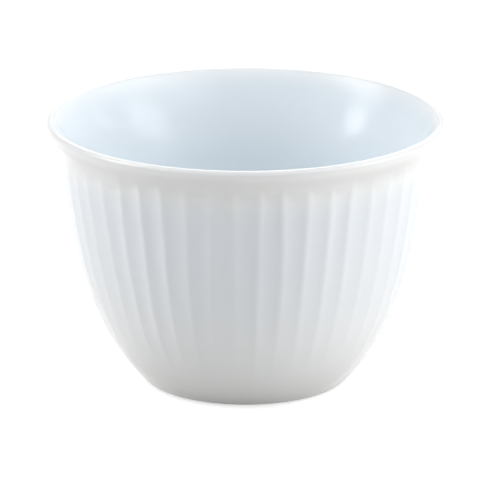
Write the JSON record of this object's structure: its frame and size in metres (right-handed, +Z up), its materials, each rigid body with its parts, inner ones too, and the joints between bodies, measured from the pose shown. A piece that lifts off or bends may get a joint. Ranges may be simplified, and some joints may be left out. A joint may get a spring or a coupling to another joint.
{
  "type": "custard cup",
  "caption": "Handleless round custard cup of glazed porcelain, with a rolled lip, a tapering bowl with shallow upright flutes, and a bare foot ring.",
  "frame": {"origin": "on the cup's axis, in the plane of the foot ring that it stands on", "axes": "+Z up along the axis of the cup, from the foot to the lip; the middle of a flute faces -Y"},
  "size_m": [0.09, 0.09, 0.061],
  "materials": {
    "bare_porcelain": "matte",
    "white_glaze": "polished",
    "blue_white_glaze": "polished"
  },
  "bodies": {
    "root": {"porcelain_body": "bare_porcelain", "outer_glaze": "white_glaze", "liner_glaze": "blue_white_glaze", "foot_recess_glaze": "white_glaze"}
  },
  "joints": []
}
